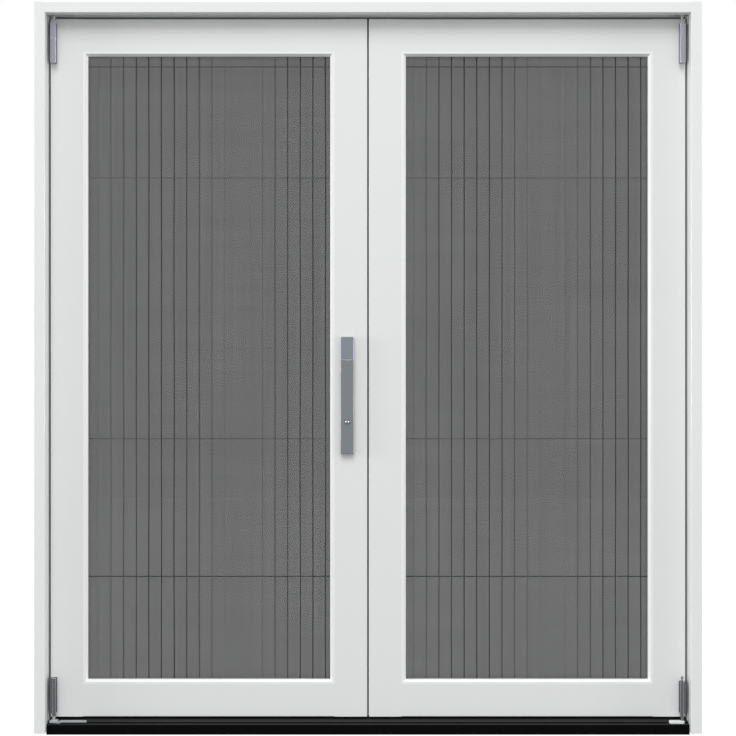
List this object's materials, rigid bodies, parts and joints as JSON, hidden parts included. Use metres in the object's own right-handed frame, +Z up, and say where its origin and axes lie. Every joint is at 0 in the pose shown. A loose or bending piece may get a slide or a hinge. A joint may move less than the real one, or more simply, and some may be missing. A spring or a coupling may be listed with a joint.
{
  "type": "folding patio door",
  "caption": "White outswing folding patio door in its frame: glazed leaves fold on side pivots and a track, with a flip handle, shoot bolts, black sill and a pleated sliding screen.",
  "frame": {"origin": "bottom centre of the frame's footprint, at the underside of the sill", "axes": "+X to the right as seen from outside, +Y from outside to inside, +Z up"},
  "size_m": [1.83, 0.166, 2.012],
  "materials": {
    "white_frame": "satin white",
    "white_leaf": "satin white",
    "glass": "clear",
    "spacer_bar": "satin",
    "black_rubber": "matte",
    "grey_hardware": "satin grey",
    "grey_handle": "satin grey",
    "black_sill": "satin black",
    "steel": "brushed",
    "bright_button": "polished",
    "black_nylon": "matte",
    "light_nylon": "satin",
    "white_screen_frame": "satin white",
    "screen_cloth": "fine woven mesh",
    "dark_string": "braided"
  },
  "bodies": {
    "frame": {"left_jamb": "white_frame", "right_jamb": "white_frame", "head": "white_frame", "sill": "black_sill", "head_track": "white_frame", "sill_track": "black_sill", "door_stops": "white_frame", "perimeter_seal": "black_rubber", "frame_screws": "steel", "bolt_keepers": "steel", "top_pivot_block": "steel", "bottom_pivot_shoe": "light_nylon", "bottom_pivot_pin": "grey_hardware", "screen_cassette": "white_screen_frame", "screen_top_rail": "white_screen_frame", "screen_bottom_rail": "white_screen_frame", "screen_strike": "white_screen_frame", "screen_mesh": "screen_cloth", "screen_strings": "dark_string"},
    "right_leaf": {"right_outer_stile": "white_leaf", "right_inner_stile": "white_leaf", "right_top_rail": "white_leaf", "right_bottom_rail": "white_leaf", "right_outer_pane": "glass", "right_inner_pane": "glass", "right_pane_spacer": "spacer_bar", "right_glazing_beads": "white_leaf", "right_glazing_gasket": "black_rubber", "right_top_hinge": "grey_hardware", "right_bottom_hinge": "grey_hardware", "fold_hinge_right_plates": "grey_hardware", "fold_hinge_pins": "steel"},
    "left_leaf": {"left_outer_stile": "white_leaf", "left_inner_stile": "white_leaf", "left_top_rail": "white_leaf", "left_bottom_rail": "white_leaf", "left_outer_pane": "glass", "left_inner_pane": "glass", "left_pane_spacer": "spacer_bar", "left_glazing_beads": "white_leaf", "left_glazing_gasket": "black_rubber", "left_top_hinge": "grey_hardware", "left_bottom_hinge": "grey_hardware", "fold_hinge_left_plates": "grey_hardware", "meeting_seal": "black_rubber", "handle_backplate": "grey_hardware", "handle_gearbox": "steel"},
    "carriage": {"carriage": "steel"},
    "trailing_wheels": {"trailing_wheels": "black_nylon"},
    "leading_wheels": {"leading_wheels": "black_nylon"},
    "guide": {"guide_block": "light_nylon"},
    "guide_roller": {"guide_roller": "black_nylon"},
    "handle_hub": {"handle_hub": "grey_handle", "lever_pin": "steel"},
    "handle_lever": {"handle_lever": "grey_handle"},
    "lock_button": {"lock_button": "bright_button"},
    "top_bolt": {"top_bolt": "steel"},
    "bottom_bolt": {"bottom_bolt": "steel"},
    "pull_bar": {"pull_bar": "white_screen_frame", "pull_grip": "white_screen_frame"}
  },
  "joints": [
    {"name": "right_swing", "type": "hinge", "parent": "frame", "child": "right_leaf", "pos_m": [0.867, -0.051, 1], "axis": [0, 0, 1], "range_deg": [0, 88]},
    {"name": "leaf_fold", "type": "hinge", "parent": "right_leaf", "child": "left_leaf", "pos_m": [0, 0.0145, 1], "axis": [0, 0, 1], "range_deg": [-176, 0]},
    {"name": "carriage_swivel", "type": "hinge", "parent": "left_leaf", "child": "carriage", "pos_m": [-0.867, -0.051, 1.98], "axis": [0, 0, 1], "range_deg": [0, 88]},
    {"name": "guide_swivel", "type": "hinge", "parent": "left_leaf", "child": "guide", "pos_m": [-0.867, -0.051, 0.04], "axis": [0, 0, 1], "range_deg": [0, 88]},
    {"name": "trailing_wheels_spin", "type": "hinge", "parent": "carriage", "child": "trailing_wheels", "pos_m": [-0.863, -0.051, 1.9928], "axis": [0, 1, 0], "continuous": true},
    {"name": "leading_wheels_spin", "type": "hinge", "parent": "carriage", "child": "leading_wheels", "pos_m": [-0.825, -0.051, 1.9928], "axis": [0, 1, 0], "continuous": true},
    {"name": "guide_roller_spin", "type": "hinge", "parent": "guide", "child": "guide_roller", "pos_m": [-0.867, -0.051, 0.02], "axis": [0, 0, 1], "continuous": true},
    {"name": "handle_turn", "type": "hinge", "parent": "left_leaf", "child": "handle_hub", "pos_m": [-0.0575, -0.0454, 1.064], "axis": [0, -1, 0], "range_deg": [0, 180]},
    {"name": "lever_flip", "type": "hinge", "parent": "handle_hub", "child": "handle_lever", "pos_m": [-0.0575, -0.0508, 1.0308], "axis": [-1, 0, 0], "range_deg": [0, 75]},
    {"name": "lock_button_press", "type": "slide", "parent": "handle_lever", "child": "lock_button", "axis": [0, 1, 0], "range_m": [0, 0.003], "stiffness_N_per_m": 600},
    {"name": "top_bolt_throw", "type": "slide", "parent": "left_leaf", "child": "top_bolt", "axis": [0, 0, 1], "range_m": [0, 0.02]},
    {"name": "bottom_bolt_throw", "type": "slide", "parent": "left_leaf", "child": "bottom_bolt", "axis": [0, 0, -1], "range_m": [0, 0.02]},
    {"name": "screen_pull", "type": "slide", "parent": "frame", "child": "pull_bar", "axis": [1, 0, 0], "range_m": [0, 1.679], "deforming": ["screen_mesh", "screen_strings"]}
  ],
  "couplings": [
    {"joint": "leaf_fold", "follows": "right_swing", "ratio": -2},
    {"joint": "carriage_swivel", "follows": "right_swing", "ratio": 1},
    {"joint": "guide_swivel", "follows": "right_swing", "ratio": 1},
    {"joint": "top_bolt_throw", "follows": "handle_turn", "m_per_rad": 0.0063661},
    {"joint": "bottom_bolt_throw", "follows": "handle_turn", "m_per_rad": 0.0063661}
  ]
}
